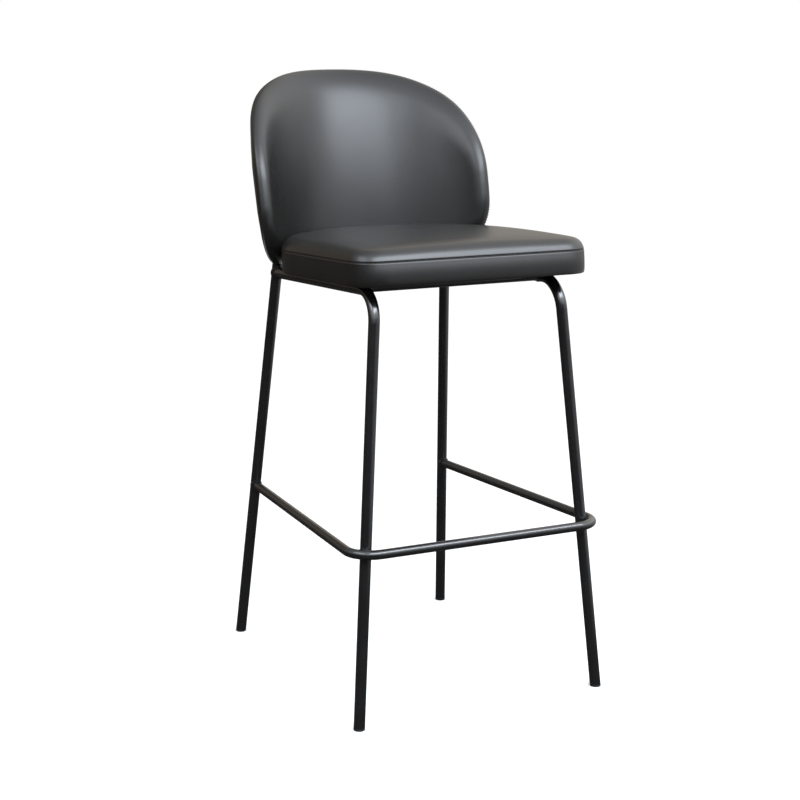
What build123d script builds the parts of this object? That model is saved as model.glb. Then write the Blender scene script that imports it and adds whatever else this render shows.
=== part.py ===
from build123d import *
from functools import cache
import math
import os

# Bar stool with a footrest: welded tube frame, boxed seat pad and a wrapped, upholstered backrest.
# Millimetres, +Z up, the sitter faces -Y. The origin is on the floor, under the middle of the stool.

# Tubes
LEG_D = 19.0
LEG_WALL = 1.5
THIN_D = 16.0
THIN_WALL = 1.5
WELD_GAP = 0.1
WELD_LEG = 2.5
WELD_GRIND = 0.4

# Where the leg axes stand on the floor and where they turn at seat height, right-hand side
FRONT_FOOT_X = 227.8
FRONT_FOOT_Y = -302.7
FRONT_CORNER_X = 171.3
FRONT_CORNER_Y = -250.6
FRONT_CORNER_Z = 711.0
FRONT_BEND_R = 52.0
REAR_FOOT_X = 214.4
REAR_FOOT_Y = 249.9
REAR_KNEE_X = 167.7
REAR_KNEE_Y = 150.4
REAR_KNEE_Z = 731.7
REAR_BEND_R = 60.0
RAIL_REAR_Z = 693.8
UPRIGHT_LENGTH = 175.0
BELOW_FLOOR_SHARE = 0.05

# Footrest
FOOTREST_Z = 293.2
FOOTREST_CORNER_R = 42.0
FOOTREST_TOUCH_ANGLE = 47.0

# Foot glides
GLIDE_BASE_H = 4.0
GLIDE_STEM_LENGTH = 24.0
GLIDE_FIT = 0.2
GLIDE_RIB_DEPTH = 1.4
GLIDE_RIB_COUNT = 3
GLIDE_RIB_H = 2.5
GLIDE_EDGE = 0.8

# Cross tubes and the ears that take the seat bolts
FRONT_CROSS_Y = -194.4
REAR_CROSS_Y = 83.6
TAB_T = 3.0
TAB_WIDTH = 32.0
TAB_REACH = 34.0
TAB_LAP = 3.5
TAB_CORNER_R = 7.0
TAB_X = 120.0
BOLT_TO_CROSS = 21.0

# Seat
SEAT_HALF_WIDTH = 217.0
SEAT_FRONT_Y = -294.4
SEAT_REAR_OFFSET = 4.1
SEAT_CORNER_R = 50.0
SEAM_H = 43.0
WALL_START = 30.0
EDGE_RISE = 21.5
ROLL_R = 31.0
CROWN_RISE = 4.5
WAIST_DEPTH = 1.8
SEAT_BASE_DRAW_IN = 2.5
SEAT_BASE_ROUND = 6.0
COVER_T = 1.2
DUST_T = 0.8
DUST_MARGIN = 18.0
HEM_WIDTH = 34.0
BOARD_T = 12.0

# Seat fasteners
BOLT_D = 6.0
BOLT_CLEARANCE = 0.6
BOLT_HEAD_D = 10.5
BOLT_HEAD_H = 3.3
BOLT_SOCKET_AF = 4.0
BOLT_SOCKET_DEPTH = 2.0
WASHER_D = 14.0
WASHER_T = 1.2
NUT_BARREL_D = 8.0
NUT_BARREL_LENGTH = 9.0
NUT_FLANGE_D = 18.0
NUT_FLANGE_T = 1.2
THREAD_FIT = 0.1
HOLE_FIT = 0.2

# Backrest: a tube-like wrap whose axis leans back
BACK_LEAN = 14.5
SEAT_BACK_GAP = 13.0
BACK_FRONT_PAD = 5.0
STRAP_T = 3.0
STRAP_H = 25.0
STRAP_HALF_ANGLE = 52.0
STRAP_CORNER_R = 8.0
STRAP_LOW_RISE = 30.0
STRAP_HIGH_RISE = 120.0
BACK_RIM_T = 25.0
BACK_REAR_COVERING = 3.0
BACK_INNER_ROUND = 9.0
BACK_OUTER_ROUND = 15.0
FOAM_FIT = 0.3

# Outline of the backrest, one half, seen along the middle of that half
BACK_RAIL_GAP = 2.9
TOP_ARC_R = 303.5
TOP_ARC_TURN = 36.0
SHOULDER_R = 199.6
WING_R = 676.0
WING_TURN = 4.6
LOWER_CORNER_R = 99.4
HALF_VIEW_ANGLE = 45.0

BIG = 2000.0
SIDES = {"left": -1, "right": 1}


def toward(start, end, height):
    """Point on the line from start to end at a height."""
    share = (height - start.Z) / (end.Z - start.Z)
    return start + (end - start) * share


FRONT_FOOT = Vector(FRONT_FOOT_X, FRONT_FOOT_Y, 0)
FRONT_CORNER = Vector(FRONT_CORNER_X, FRONT_CORNER_Y, FRONT_CORNER_Z)
REAR_FOOT = Vector(REAR_FOOT_X, REAR_FOOT_Y, 0)
REAR_KNEE = Vector(REAR_KNEE_X, REAR_KNEE_Y, REAR_KNEE_Z)
RAIL_END = toward(REAR_FOOT, REAR_KNEE, RAIL_REAR_Z)

# The seat rests on the tops of the side rails, which fall a little to the rear
RAIL_RUN = RAIL_END.Y - FRONT_CORNER_Y
SEAT_TILT = math.degrees(math.atan2(FRONT_CORNER_Z - RAIL_REAR_Z, RAIL_RUN))
TILT_SIN = math.sin(math.radians(SEAT_TILT))
TILT_COS = math.cos(math.radians(SEAT_TILT))
SEAT_ORIGIN_Z = FRONT_CORNER_Z + FRONT_CORNER_Y * TILT_SIN / TILT_COS + LEG_D / 2 / TILT_COS
SEAT_PLANE = Plane(origin=(0, 0, SEAT_ORIGIN_Z), x_dir=(1, 0, 0), z_dir=(0, TILT_SIN, TILT_COS))

# The backrest wraps the seat, and the uprights run along its axis, behind its front padding and straps
LEAN_SIN = math.sin(math.radians(BACK_LEAN))
LEAN_COS = math.cos(math.radians(BACK_LEAN))
BACK_INNER_R = SEAT_HALF_WIDTH + SEAT_BACK_GAP
STRAP_INNER_R = BACK_INNER_R + COVER_T + BACK_FRONT_PAD
UPRIGHT_R = STRAP_INNER_R + STRAP_T + WELD_GAP + LEG_D / 2
UPRIGHT_ANGLE = math.degrees(math.asin(REAR_KNEE_X / UPRIGHT_R))
UPRIGHT_BACK = math.sqrt(UPRIGHT_R**2 - REAR_KNEE_X**2)
BACK_AXIS_DIR = Vector(0, LEAN_SIN, LEAN_COS)
BACK_ORIGIN = Vector(0, REAR_KNEE_Y, REAR_KNEE_Z) - Vector(0, LEAN_COS, -LEAN_SIN) * UPRIGHT_BACK
BACK_PLANE = Plane(origin=BACK_ORIGIN, x_dir=(1, 0, 0), z_dir=BACK_AXIS_DIR)
UPRIGHT_TOP = REAR_KNEE + BACK_AXIS_DIR * UPRIGHT_LENGTH
SEAT_REAR_CENTRE_Y = BACK_ORIGIN.Y + SEAT_REAR_OFFSET

# The lower edge of the backrest clears the welds at the rail ends, and its arcs give its height from there
RAIL_WELD_TOP = RAIL_REAR_Z + LEG_D / 2 + WELD_LEG
LOWER_EDGE_RISE = (RAIL_WELD_TOP - REAR_KNEE_Z) / LEAN_COS + BACK_RAIL_GAP
ARC_SIN = math.sin(math.radians(TOP_ARC_TURN))
ARC_COS = math.cos(math.radians(TOP_ARC_TURN))
WING_SIN = math.sin(math.radians(WING_TURN))
ARCH_RISE = TOP_ARC_R * (1 - ARC_COS) + SHOULDER_R * ARC_COS
WING_RISE = WING_R * WING_SIN + LOWER_CORNER_R * (1 - WING_SIN)
BACK_TOP_RISE = LOWER_EDGE_RISE + WING_RISE + ARCH_RISE

# The outer face is a wider cylinder set further back, so the padding is thin at the wings
# and thick enough over the uprights
RIM_R = BACK_INNER_R + BACK_RIM_T / 2
HALF_START_X = -RIM_R * math.sin(math.radians(HALF_VIEW_ANGLE))
WING_REACH = HALF_START_X + TOP_ARC_R * ARC_SIN + SHOULDER_R * (1 - ARC_SIN) - BACK_RIM_T / 2
WING_COS = math.cos(math.radians(HALF_VIEW_ANGLE) + math.asin(WING_REACH / RIM_R))
UPRIGHT_COS = math.cos(math.radians(UPRIGHT_ANGLE))
OUTER_AT_WING = BACK_INNER_R + BACK_RIM_T
OUTER_AT_UPRIGHT = UPRIGHT_R + LEG_D / 2 + BACK_REAR_COVERING
BACK_OUTER_SHIFT = (OUTER_AT_UPRIGHT - OUTER_AT_WING) / (UPRIGHT_COS - WING_COS)
BACK_OUTER_R = OUTER_AT_WING - BACK_OUTER_SHIFT * WING_COS


def on_side(point, side):
    return Vector(point.X * side, point.Y, point.Z)


def swept(path, diameter, wall=None):
    """Round bar or tube along a path."""
    section = Circle(diameter / 2)
    if wall:
        section -= Circle(diameter / 2 - wall)
    return sweep(Plane(origin=path @ 0, z_dir=path % 0) * section, path)


def slab(low, high):
    """Everything between two heights."""
    return Pos(0, 0, (low + high) / 2) * Box(BIG, BIG, high - low)


LEGS = {
    "front": (FRONT_FOOT, FRONT_CORNER, RAIL_END, FRONT_BEND_R),
    "rear": (REAR_FOOT, REAR_KNEE, UPRIGHT_TOP, REAR_BEND_R),
}


def leg_path(end, side):
    """Axis of a leg from below the floor, round its one bend to its far end."""
    foot, turn, tip, bend_r = LEGS[end]
    below = foot - (turn - foot) * BELOW_FLOOR_SHARE
    points = [on_side(point, side) for point in (below, turn, tip)]
    return FilletPolyline(*points, radius=bend_r)


@cache
def leg_bar(end, side, diameter):
    """Solid bar on a leg's axis, for cuts and welds."""
    return swept(leg_path(end, side), diameter)


def leg_tube(end, side):
    tube = swept(leg_path(end, side), LEG_D, LEG_WALL)
    if end == "front":
        tube -= leg_bar("rear", side, LEG_D + 2 * WELD_GAP)
    return tube & slab(GLIDE_BASE_H, BIG)


def rail_line(side):
    return Line(on_side(FRONT_CORNER, side), on_side(RAIL_END, side))


def footrest_path():
    """U-shaped axis: round the front legs, which sit inside its corners, and back to the rear legs."""
    front_leg = toward(FRONT_FOOT, FRONT_CORNER, FOOTREST_Z)
    rear_leg = toward(REAR_FOOT, REAR_KNEE, FOOTREST_Z)
    leg_lean = (FRONT_CORNER - FRONT_FOOT).get_angle(Vector(0, 0, 1))
    leg_to_bar = ((LEG_D + THIN_D) / 2 + WELD_GAP) / math.cos(math.radians(leg_lean))
    touch = Vector(1, 0, 0).rotate(Axis.Z, -FOOTREST_TOUCH_ANGLE)
    bend_centre = front_leg - touch * (FOOTREST_CORNER_R - leg_to_bar)
    # The side bar is the outer tangent from the rear leg to the corner bend
    run = bend_centre - rear_leg
    heading = math.atan2(run.Y, run.X) + math.asin(FOOTREST_CORNER_R / run.length)
    bar_y = bend_centre.Y - FOOTREST_CORNER_R
    corner_x = rear_leg.X + (bar_y - rear_leg.Y) / math.tan(heading)
    corner = Vector(corner_x, bar_y, FOOTREST_Z)
    points = [on_side(rear_leg, -1), on_side(corner, -1), corner, rear_leg]
    return FilletPolyline(*points, radius=FOOTREST_CORNER_R)


def footrest_ring():
    ring = swept(footrest_path(), THIN_D, THIN_WALL)
    for side in SIDES.values():
        ring -= leg_bar("rear", side, LEG_D + 2 * WELD_GAP)
    return ring


def bead(bar_path, bar_d, end, side):
    """Weld in the corner between a bar and a leg, its legs WELD_LEG long."""
    fill = swept(bar_path, bar_d + 2 * WELD_LEG) & leg_bar(end, side, LEG_D + 2 * WELD_LEG)
    fill -= leg_bar(end, side, LEG_D)
    return fill - swept(bar_path, bar_d)


def footrest_welds():
    joints = [(end, side) for end in LEGS for side in SIDES.values()]
    beads = [bead(footrest_path(), THIN_D, end, side) for end, side in joints]
    return Compound(children=[solid for fill in beads for solid in fill.solids()])


def rail_welds():
    beads = [bead(rail_line(side), LEG_D, "rear", side) for side in SIDES.values()]
    return Compound(children=[solid for fill in beads for solid in fill.solids()])


def cross_line(y):
    """Axis of a cross tube whose top is flush with the rails, in the seat's own plane."""
    reach = FRONT_CORNER_X
    ends = [SEAT_PLANE.from_local_coords(Vector(x, y, -THIN_D / 2)) for x in (-reach, reach)]
    return Line(*ends)


def cross_tube(y):
    tube = swept(cross_line(y), THIN_D, THIN_WALL)
    for side in SIDES.values():
        tube -= leg_bar("front", side, LEG_D + 2 * WELD_GAP)
    return tube


def cross_tube_welds():
    """Beads round the cross tube ends, ground level with the tubes under the seat."""
    below_seat = SEAT_PLANE * slab(-BIG, -WELD_GRIND)
    joints = [(y, side) for y in (FRONT_CROSS_Y, REAR_CROSS_Y) for side in SIDES.values()]
    beads = [bead(cross_line(y), THIN_D, "front", side) & below_seat for y, side in joints]
    return Compound(children=[solid for fill in beads for solid in fill.solids()])


def foot_glide(end, side):
    """Plug with a ribbed stem, cut level with the floor under a leaning leg."""
    foot, top = LEGS[end][:2]
    axis = Plane(origin=on_side(foot, side), z_dir=on_side(top - foot, side))
    bore_d = LEG_D - 2 * LEG_WALL - 2 * GLIDE_FIT
    base = axis * Cylinder(LEG_D / 2, 8 * GLIDE_BASE_H) & slab(0, GLIDE_BASE_H)
    base = chamfer(base.edges().group_by(Axis.Z)[0], GLIDE_EDGE)
    stem_h = GLIDE_BASE_H + GLIDE_STEM_LENGTH
    stem = axis * Pos(0, 0, stem_h / 2) * Cylinder(bore_d / 2 - GLIDE_RIB_DEPTH, stem_h)
    pitch = GLIDE_STEM_LENGTH / (GLIDE_RIB_COUNT + 0.5)
    for i in range(GLIDE_RIB_COUNT):
        rib_z = GLIDE_BASE_H + (i + 1) * pitch
        stem += axis * Pos(0, 0, rib_z) * Cylinder(bore_d / 2, GLIDE_RIB_H)
    return base + (stem & slab(GLIDE_BASE_H / 2, BIG))


def bolt_spots():
    """Seat bolt centres in the seat's plane, named by corner."""
    spots = {}
    for end, cross_y, step in (("front", FRONT_CROSS_Y, 1), ("rear", REAR_CROSS_Y, -1)):
        for name, side in SIDES.items():
            spots[f"{end}_{name}"] = (side * TAB_X, cross_y + step * BOLT_TO_CROSS, cross_y, step)
    return spots


def seat_tab(spot):
    """Flat ear welded to a cross tube, its top level with the tube's."""
    x, y, cross_y, step = spot
    middle = cross_y + step * (TAB_LAP + TAB_REACH) / 2
    ear = Pos(x, middle, -TAB_T / 2) * Box(TAB_WIDTH, TAB_REACH - TAB_LAP, TAB_T)
    free_end = ear.edges().filter_by(Axis.Z).sort_by(Axis.Y)
    ear = fillet(free_end[-2:] if step > 0 else free_end[:2], TAB_CORNER_R)
    ear -= Pos(x, y, -TAB_T / 2) * Cylinder((BOLT_D + BOLT_CLEARANCE) / 2, 2 * TAB_T)
    return SEAT_PLANE * ear - swept(cross_line(cross_y), THIN_D + 2 * WELD_GAP)


def at_bolts(shape):
    return Compound(children=[SEAT_PLANE * Pos(x, y, 0) * shape for x, y, _, _ in bolt_spots().values()])


def seat_bolt():
    head_top = -TAB_T - WASHER_T
    shank_top = BOARD_BOTTOM + BOARD_T
    head = Pos(0, 0, head_top - BOLT_HEAD_H / 2) * Cylinder(BOLT_HEAD_D / 2, BOLT_HEAD_H)
    head = chamfer(head.edges().group_by(Axis.Z)[0], BOLT_HEAD_H / 3)
    socket = extrude(RegularPolygon(BOLT_SOCKET_AF / 2, 6, major_radius=False), BOLT_SOCKET_DEPTH)
    head -= Pos(0, 0, head_top - BOLT_HEAD_H) * socket
    length = shank_top - head_top
    return head + Pos(0, 0, head_top + length / 2) * Cylinder(BOLT_D / 2, length)


def bolt_washer():
    ring = Cylinder(WASHER_D / 2, WASHER_T) - Cylinder((BOLT_D + BOLT_CLEARANCE) / 2, WASHER_T)
    return Pos(0, 0, -TAB_T - WASHER_T / 2) * ring


def tee_nut():
    top = BOARD_BOTTOM + BOARD_T
    nut = Pos(0, 0, top - NUT_BARREL_LENGTH / 2) * Cylinder(NUT_BARREL_D / 2, NUT_BARREL_LENGTH)
    nut += Pos(0, 0, top + NUT_FLANGE_T / 2) * Cylinder(NUT_FLANGE_D / 2, NUT_FLANGE_T)
    return nut - Pos(0, 0, top) * Cylinder(BOLT_D / 2 + THREAD_FIT, 4 * NUT_BARREL_LENGTH)


def seat_outline(inset):
    """Plan of the seat: straight sides, rounded front corners and a round rear."""
    half = SEAT_HALF_WIDTH - inset
    corner_r = SEAT_CORNER_R - inset
    front_y = SEAT_FRONT_Y + inset
    front = Line((0, front_y), (half - corner_r, front_y))
    corner = JernArc(front @ 1, front % 1, corner_r, 90)
    side = Line(corner @ 1, (half, SEAT_REAR_CENTRE_Y))
    rear = JernArc(side @ 1, side % 1, half, 90)
    right = [front, corner, side, rear]
    left = [mirror(edge, Plane.YZ) for edge in right]
    return make_face(right + left)


SEAT_BOTTOM = DUST_T
SEAT_EDGE_TOP = SEAM_H + EDGE_RISE
BOARD_BOTTOM = SEAT_BOTTOM + COVER_T


def seat_body(inset):
    """Whole pad in the seat's plane: drawn-in sides, rolled top edge and crown."""
    bottom = SEAT_BOTTOM + inset
    levels = [
        (bottom, SEAT_BASE_DRAW_IN),
        ((bottom + WALL_START) / 2, WAIST_DEPTH),
        (WALL_START, 0.0),
    ]
    sides = loft([Pos(0, 0, z) * seat_outline(draw + inset) for z, draw in levels])
    upper = extrude(Pos(0, 0, WALL_START) * seat_outline(inset), SEAT_EDGE_TOP - WALL_START + 2 * CROWN_RISE)
    pad = sides + upper
    reach = SEAT_HALF_WIDTH
    crown_r = (reach**2 + CROWN_RISE**2) / (2 * CROWN_RISE)
    middle_y = (SEAT_FRONT_Y + SEAT_REAR_CENTRE_Y + SEAT_HALF_WIDTH) / 2
    top = SEAT_EDGE_TOP + CROWN_RISE - inset
    pad &= Pos(0, middle_y, top - crown_r) * Sphere(crown_r)
    crown = pad.faces().sort_by(Axis.Z)[-1]
    pad = fillet(crown.edges(), ROLL_R - inset)
    base = pad.faces().sort_by(Axis.Z)[0]
    return fillet(base.edges(), SEAT_BASE_ROUND - inset)


def seat_nodes():
    pad = seat_body(0.0)
    core = seat_body(COVER_T)
    skin = pad - core
    hem_opening = Pos(0, 0, SEAT_BOTTOM - COVER_T) * extrude(seat_outline(HEM_WIDTH), 3 * COVER_T)
    skin -= hem_opening
    top_cover = skin & slab(SEAM_H, BIG)
    band = skin & slab(-BIG, SEAM_H)
    board_top = BOARD_BOTTOM + BOARD_T
    board = core & slab(BOARD_BOTTOM, board_top)
    foam = core & slab(board_top, BIG)
    dust = extrude(seat_outline(DUST_MARGIN), DUST_T)
    for x, y, _, _ in bolt_spots().values():
        board -= Pos(x, y, board_top) * Cylinder(NUT_BARREL_D / 2 + HOLE_FIT, 4 * BOARD_T)
        foam -= Pos(x, y, board_top) * Cylinder(NUT_FLANGE_D / 2 + HOLE_FIT, 2 * (NUT_FLANGE_T + HOLE_FIT))
        dust -= Pos(x, y, 0) * Cylinder((BOLT_D + BOLT_CLEARANCE) / 2, 4 * DUST_T)
    pieces = {
        "seat_top_cover": top_cover,
        "seat_boxing_band": band,
        "seat_board": board,
        "seat_foam": foam,
        "seat_dust_cover": dust,
    }
    return {name: SEAT_PLANE * piece for name, piece in pieces.items()}


def back_half_outline(inset):
    """Half of the backrest's outline, tangent arcs from the middle of the top round to the lower edge."""
    past_middle = -BACK_OUTER_R
    start = Vector(HALF_START_X, BACK_TOP_RISE - inset)
    lead_in = Line((past_middle, start.Y), start)
    top = JernArc(start, (1, 0), TOP_ARC_R - inset, -TOP_ARC_TURN)
    shoulder = JernArc(top @ 1, top % 1, SHOULDER_R - inset, -(90 - TOP_ARC_TURN))
    wing = JernArc(shoulder @ 1, shoulder % 1, WING_R - inset, -WING_TURN)
    corner = JernArc(wing @ 1, wing % 1, LOWER_CORNER_R - inset, -(90 - WING_TURN))
    lower = Line(corner @ 1, Vector(past_middle, (corner @ 1).Y))
    closing = Line(lower @ 1, lead_in @ 0)
    return make_face([lead_in, top, shoulder, wing, corner, lower, closing])


def back_body(inset):
    """Whole backrest in its own plane, its axis along Z."""
    turn = math.radians(HALF_VIEW_ANGLE)
    view = Plane(
        origin=(0, 0, 0),
        x_dir=(math.cos(turn), -math.sin(turn), 0),
        z_dir=(-math.sin(turn), -math.cos(turn), 0),
    )
    half = extrude(view * back_half_outline(inset), -BIG / 4)
    height = 2 * BACK_TOP_RISE
    half &= Pos(0, BACK_OUTER_SHIFT, 0) * Cylinder(BACK_OUTER_R - inset, 2 * height)
    half -= Cylinder(BACK_INNER_R + inset, 2 * height)
    half &= Pos(BIG / 4, 0, 0) * Box(BIG / 2, BIG, BIG)
    whole = half + mirror(half, Plane.YZ)
    inner = whole.faces().sort_by(SortBy.AREA)[-2]
    whole = fillet(inner.edges(), BACK_INNER_ROUND - inset)
    outer = whole.faces().sort_by(SortBy.AREA)[-1]
    return fillet(outer.edges(), BACK_OUTER_ROUND - inset)


def back_strap(rise, fit=0.0):
    """Flat bar bent round the front of both uprights, in the backrest's own plane, or the room it needs."""
    inner_r = STRAP_INNER_R - fit
    thickness = STRAP_T + 2 * fit
    height = STRAP_H + 2 * fit
    reach = math.radians(STRAP_HALF_ANGLE) + fit / inner_r
    arcs = []
    for radius in (inner_r, inner_r + thickness):
        tip = (radius * math.sin(reach), radius * math.cos(reach))
        arcs.append(ThreePointArc((-tip[0], tip[1]), (0, radius), tip))
    ends = [Line(arcs[0] @ t, arcs[1] @ t) for t in (0, 1)]
    bar = extrude(make_face(arcs + ends), height)
    corners = [e for e in bar.edges() if abs(e.length - thickness) < thickness / 100]
    return Pos(0, 0, rise - height / 2) * fillet(corners, STRAP_CORNER_R + fit)


def back_nodes():
    body = back_body(0.0)
    core = back_body(COVER_T)
    skin = body - core
    seam = Cylinder(BACK_INNER_R + BACK_RIM_T - BACK_OUTER_ROUND, BIG)
    covers = {"back_front_cover": skin & seam, "back_rear_cover": skin - seam}
    straps = {}
    foam = core
    for name, rise in (("back_strap_lower", STRAP_LOW_RISE), ("back_strap_upper", STRAP_HIGH_RISE)):
        straps[name] = back_strap(rise)
        foam -= back_strap(rise, FOAM_FIT)
    pieces = {"back_foam": foam, **covers, **straps}
    placed = {name: BACK_PLANE * piece for name, piece in pieces.items()}
    for side in SIDES.values():
        channel = leg_bar("rear", side, LEG_D + 2 * FOAM_FIT)
        for name in ("back_foam", *covers):
            placed[name] -= channel
    return placed


if __name__ == "__main__":
    os.makedirs("parts", exist_ok=True)
    nodes = {}
    for name, side in SIDES.items():
        for end in LEGS:
            nodes[f"{end}_leg_{name}"] = leg_tube(end, side)
            nodes[f"foot_glide_{end}_{name}"] = foot_glide(end, side)
    nodes["footrest_ring"] = footrest_ring()
    nodes["footrest_welds"] = footrest_welds()
    nodes["rail_welds"] = rail_welds()
    nodes["front_cross_tube"] = cross_tube(FRONT_CROSS_Y)
    nodes["rear_cross_tube"] = cross_tube(REAR_CROSS_Y)
    nodes["cross_tube_welds"] = cross_tube_welds()
    for corner, spot in bolt_spots().items():
        nodes[f"seat_tab_{corner}"] = seat_tab(spot)
    nodes["seat_bolts"] = at_bolts(seat_bolt())
    nodes["bolt_washers"] = at_bolts(bolt_washer())
    nodes["tee_nuts"] = at_bolts(tee_nut())
    nodes.update(seat_nodes())
    nodes.update(back_nodes())
    for name, shape in nodes.items():
        export_step(shape, f"parts/{name}.step")
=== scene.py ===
# %% [markdown]
# # A bar stool with a footrest
# The stool is a welded frame of black powder-coated tube, a boxed seat pad and a backrest that wraps round
# the sitter, both covered in smooth black leather. The hard parts come from a measured model and are only
# dressed here. The two pads, the cloth under the seat, the stitches and the staples are made in this file,
# in metres, in the model's own frame: Z is up, the sitter faces -Y and the feet stand on Z = 0.

# %% Load the measured frame
import math
import bmesh
import bpy
import numpy as np
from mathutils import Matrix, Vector


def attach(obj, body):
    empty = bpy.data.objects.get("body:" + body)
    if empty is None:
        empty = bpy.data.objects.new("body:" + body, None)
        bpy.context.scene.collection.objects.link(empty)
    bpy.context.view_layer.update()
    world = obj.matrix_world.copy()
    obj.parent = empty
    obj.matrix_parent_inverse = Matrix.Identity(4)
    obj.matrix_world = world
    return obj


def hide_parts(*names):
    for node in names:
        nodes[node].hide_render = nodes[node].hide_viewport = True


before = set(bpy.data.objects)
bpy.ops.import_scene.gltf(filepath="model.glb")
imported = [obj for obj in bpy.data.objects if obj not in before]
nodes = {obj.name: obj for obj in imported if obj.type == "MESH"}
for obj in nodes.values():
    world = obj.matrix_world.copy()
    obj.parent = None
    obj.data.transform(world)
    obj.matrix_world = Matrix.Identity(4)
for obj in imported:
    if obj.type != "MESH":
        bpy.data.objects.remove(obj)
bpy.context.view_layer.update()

scene = bpy.context.scene

# %% [markdown]
# ## The camera
# A product picture is taken with a long lens, so that the legs stay nearly parallel. The place and the lens
# follow from the feet and the seat's corners: the camera stands in front, to the left, a little higher than
# the backrest.

# %% Camera
CAMERA_PLACE = (-1.4220, -2.8277, 1.1227)
CAMERA_FORWARD = (0.4398, 0.8753, -0.2009)
CAMERA_LENS = 81.58
camera_data = bpy.data.cameras.new("product_camera")
camera_data.lens = CAMERA_LENS
camera_data.sensor_fit = "HORIZONTAL"
camera = bpy.data.objects.new("product_camera", camera_data)
camera.location = CAMERA_PLACE
camera.rotation_euler = Vector(CAMERA_FORWARD).to_track_quat("-Z", "Y").to_euler()
scene.collection.objects.link(camera)
scene.camera = camera
print("camera:", CAMERA_LENS, "mm lens at", CAMERA_PLACE)

# %% [markdown]
# ## Small helpers for node trees
# Every finish below is a node tree, and a tree is easier to read when a node can be added and wired in one
# line. `add_node` sets a node's options and its unlinked inputs by name, and links an input when it is
# given a socket. `mix` and `ramp` add the two nodes used most, a blend of two colours and a slope between
# two limits, and give back the socket that holds the result.

# %% Node helpers
def add_node(tree, kind, inputs=None, **options):
    """New node with its options set, and each input linked to a socket or set to a value."""
    node = tree.nodes.new(kind)
    for option, value in options.items():
        setattr(node, option, value)
    for key, value in (inputs or {}).items():
        socket = node.inputs[key]
        if isinstance(value, bpy.types.NodeSocket):
            tree.links.new(value, socket)
        else:
            socket.default_value = value
    return node


def mix(tree, factor, first, second, blend="MIX"):
    """Blend of two colours. A Mix node has its colour inputs at 6 and 7 and its colour output at 2."""
    node = add_node(tree, "ShaderNodeMix", {"Factor": factor, 6: first, 7: second},
                    data_type="RGBA", blend_type=blend)
    return node.outputs[2]


def ramp(tree, value, limits, interpolation="LINEAR"):
    """Slope from nought to one while a value runs between two limits."""
    node = add_node(tree, "ShaderNodeMapRange", {
        "Value": value, "From Min": limits[0], "From Max": limits[1]}, interpolation_type=interpolation)
    return node.outputs["Result"]


def new_group(name, tree_type, sockets):
    """Empty node group with its named sockets, and its input and output nodes."""
    tree = bpy.data.node_groups.new(name, tree_type)
    for direction, label, kind, value in sockets:
        socket = tree.interface.new_socket(name=label, in_out=direction, socket_type=kind)
        if value is not None:
            socket.default_value = value
    return tree, tree.nodes.new("NodeGroupInput"), tree.nodes.new("NodeGroupOutput")


# %% [markdown]
# ## Studio
# Black leather shows hardly any colour of its own: what the eye reads is the room in its gloss. So the
# light is planned as reflections. A broad cool window high in front gives the soft patch inside the
# backrest and the bright line on the seat's front roll, and a smaller one on the left draws the rim of the
# wing. The room is bright above and in front, dim below and warm behind, and a pale wall on the right fills
# the hollow of the backrest. A Light Path node keeps two rooms apart: the world is white where the camera
# looks past the stool and where it lights the matt floor, and the painted room only in reflections.
# Sampling the world by its own map would blur the two, so that is turned off. The floor works the same way:
# white to the camera, dark in the gloss of the legs, and pale again on the right.

# %% World
WHITE = (1.0, 1.0, 1.0, 1.0)
LOW_FRONT = (0.08, 0.08, 0.08, 1.0)
LOW_REAR = (0.26, 0.21, 0.15, 1.0)
HIGH_FRONT = (2.0, 2.1, 2.26, 1.0)
HIGH_REAR_LEFT = (0.20, 0.18, 0.15, 1.0)
HIGH_REAR_RIGHT = (0.45, 0.37, 0.27, 1.0)
RIGHT_WALL = (0.82, 0.83, 0.83, 1.0)
HEIGHT_RANGE = (0.12, 0.38)
DEPTH_RANGE = (-0.7, 0.9)
RIGHT_RANGE = (0.15, 0.95)
REAR_RIGHT_RANGE = (0.0, 0.4)
world = bpy.data.worlds.new("studio")
world.use_nodes = True
scene.world = world
tree = world.node_tree
tree.nodes.clear()
direction = add_node(tree, "ShaderNodeTexCoord").outputs["Generated"]
split = add_node(tree, "ShaderNodeSeparateXYZ", {"Vector": direction}).outputs
height = ramp(tree, split["Z"], HEIGHT_RANGE, "SMOOTHSTEP")
depth = ramp(tree, split["Y"], DEPTH_RANGE)
side = ramp(tree, split["X"], RIGHT_RANGE)
rear_side = ramp(tree, split["X"], REAR_RIGHT_RANGE)
low = mix(tree, depth, LOW_FRONT, LOW_REAR)
rear = mix(tree, rear_side, HIGH_REAR_LEFT, HIGH_REAR_RIGHT)
high = mix(tree, depth, HIGH_FRONT, rear)
walls = mix(tree, height, low, high)
room = mix(tree, side, walls, RIGHT_WALL, blend="ADD")
mirrored = add_node(tree, "ShaderNodeLightPath").outputs["Is Glossy Ray"]
background = add_node(tree, "ShaderNodeBackground", {"Color": mix(tree, mirrored, WHITE, room)})
add_node(tree, "ShaderNodeOutputWorld", {"Surface": background.outputs["Background"]})
world.cycles.sampling_method = "NONE"
scene.view_settings.view_transform = "Standard"
print("world: white to the camera, a room bright above and dim below in reflections")

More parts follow.
